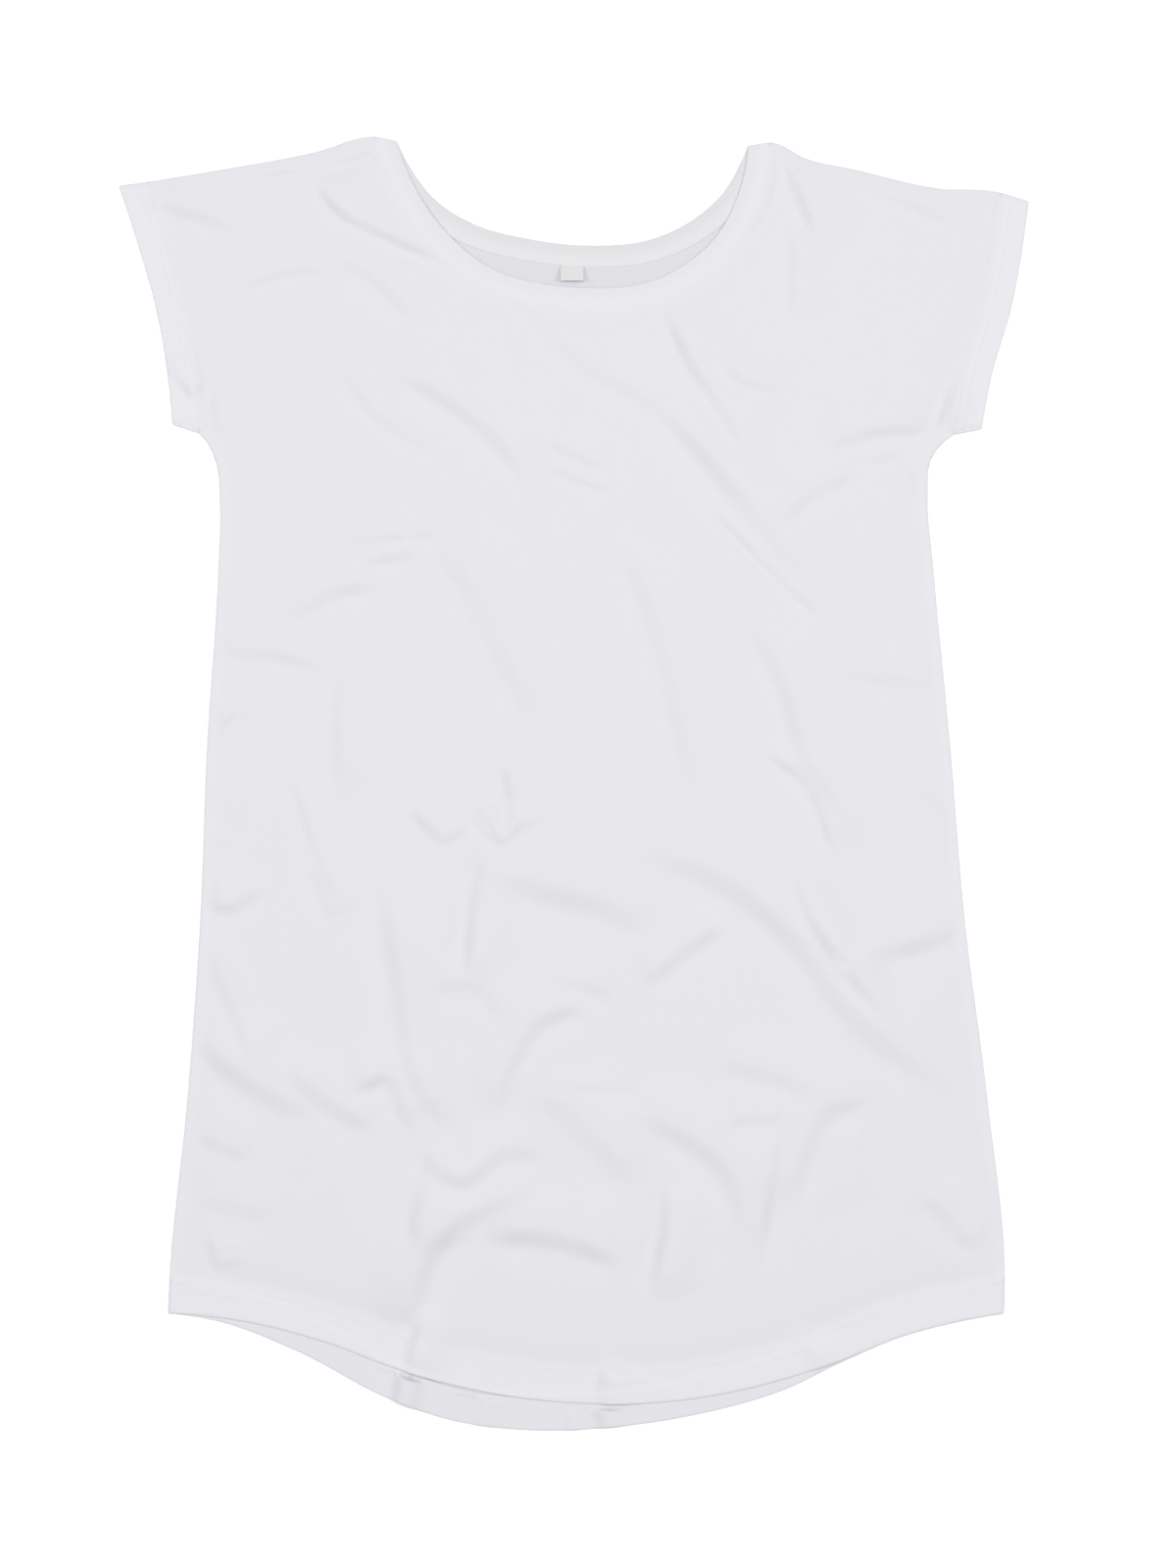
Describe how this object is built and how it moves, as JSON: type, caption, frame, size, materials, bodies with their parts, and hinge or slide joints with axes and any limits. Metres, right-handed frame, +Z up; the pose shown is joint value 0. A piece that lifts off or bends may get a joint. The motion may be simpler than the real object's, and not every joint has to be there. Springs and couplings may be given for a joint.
{
  "type": "t-shirt dress",
  "caption": "White jersey t-shirt dress laid flat, with a wide scoop neck, cap sleeves cut in one with the body, and a curved hem longer at the back.",
  "frame": {"origin": "on the surface that the dress lies on, under the centre of its outline", "axes": "+Z up from the surface, out of the dress's front; +Y towards the neck; +X to the right as one looks down on the front"},
  "size_m": [0.649, 0.9234, 0.0094],
  "materials": {
    "jersey": "matte single jersey",
    "turned_jersey": "matte single jersey, two layers stitched together",
    "label": "smooth woven satin"
  },
  "bodies": {
    "root": {"back_panel": "jersey", "back_neck_band": "turned_jersey", "back_hem": "turned_jersey", "back_left_cuff": "turned_jersey", "back_right_cuff": "turned_jersey", "front_panel": "jersey", "front_neck_band": "turned_jersey", "front_hem": "turned_jersey", "front_left_cuff": "turned_jersey", "front_right_cuff": "turned_jersey", "size_label": "label"}
  },
  "joints": []
}
